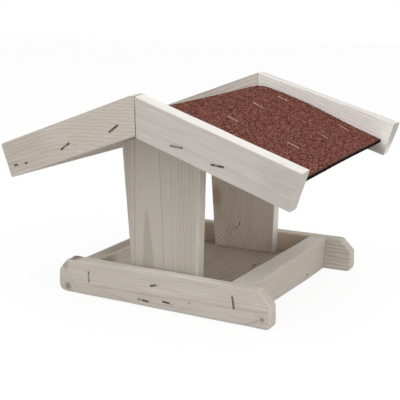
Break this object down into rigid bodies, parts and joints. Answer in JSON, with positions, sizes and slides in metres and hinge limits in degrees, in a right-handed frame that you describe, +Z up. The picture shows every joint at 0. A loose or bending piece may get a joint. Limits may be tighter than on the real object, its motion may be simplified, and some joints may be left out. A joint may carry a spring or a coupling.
{
  "type": "wooden bird feeder",
  "caption": "Free-standing wooden bird feeder: an open railed tray, two tapered posts and a pitched roof of boards under red mineral felt with barge boards at the gables.",
  "frame": {"origin": "middle of the underside, on the surface that the feeder stands on", "axes": "+X along the front rail to the right as seen from the front, +Y from the front gable to the back gable, +Z up"},
  "size_m": [0.3121, 0.248, 0.201],
  "materials": {
    "washed_wood": "white-washed spruce with the grain showing, matt",
    "floor_wood": "white-washed spruce floor, darker and worn, matt",
    "roof_wood": "plain spruce under the felt, matt",
    "mineral_felt": "bitumen felt with brick-red mineral granules and a black cut edge",
    "staple_steel": "dark weathered steel wire",
    "felt_staple_steel": "zinc-plated steel wire"
  },
  "bodies": {
    "root": {"floor_board": "floor_wood", "front_rail": "washed_wood", "back_rail": "washed_wood", "left_rail": "washed_wood", "right_rail": "washed_wood", "front_post": "washed_wood", "back_post": "washed_wood", "left_roof_board": "roof_wood", "right_roof_board": "roof_wood", "roof_felt": "mineral_felt", "front_left_barge": "washed_wood", "front_right_barge": "washed_wood", "back_left_barge": "washed_wood", "back_right_barge": "washed_wood", "front_rail_end_staples": "staple_steel", "back_rail_end_staples": "staple_steel", "front_rail_floor_staples": "staple_steel", "back_rail_floor_staples": "staple_steel", "left_rail_floor_staple": "staple_steel", "right_rail_floor_staple": "staple_steel", "front_post_staple": "staple_steel", "back_post_staple": "staple_steel", "left_roof_staples": "staple_steel", "right_roof_staples": "staple_steel", "front_left_barge_staples": "staple_steel", "front_right_barge_staples": "staple_steel", "back_left_barge_staples": "staple_steel", "back_right_barge_staples": "staple_steel", "left_felt_staples": "felt_staple_steel", "right_felt_staples": "felt_staple_steel"}
  },
  "joints": []
}
